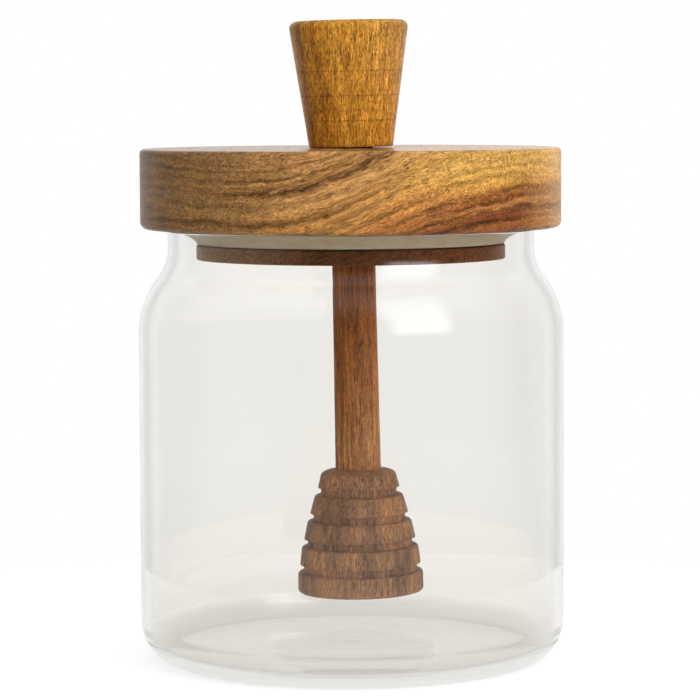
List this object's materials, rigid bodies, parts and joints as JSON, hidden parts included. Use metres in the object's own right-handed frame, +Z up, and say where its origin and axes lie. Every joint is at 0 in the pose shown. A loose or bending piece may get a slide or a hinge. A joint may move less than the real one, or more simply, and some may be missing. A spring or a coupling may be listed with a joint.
{
  "type": "honey pot",
  "caption": "Empty clear glass honey jar with a turned wooden lid, a soft seal, a tapered wooden knob and a ringed wooden honey dipper hanging inside.",
  "frame": {"origin": "middle of the jar's base, on the surface it stands on", "axes": "+Z up along the jar's axis, -Y towards the viewer of the picture, +X to that viewer's right"},
  "size_m": [0.1, 0.1, 0.1508],
  "materials": {
    "clear_glass": "clear polished glass, faintly grey at its edges",
    "lid_wood": "oiled acacia with streaks from grey brown to golden yellow, satin",
    "seal_silicone": "pale translucent silicone, soft sheen",
    "knob_wood": "golden brown oiled acacia with upright pores, satin",
    "dipper_wood": "reddish brown oiled acacia, satin to matt"
  },
  "bodies": {
    "root": {"jar": "clear_glass", "lid": "lid_wood", "seal": "seal_silicone", "knob": "knob_wood", "dipper": "dipper_wood"}
  },
  "joints": []
}
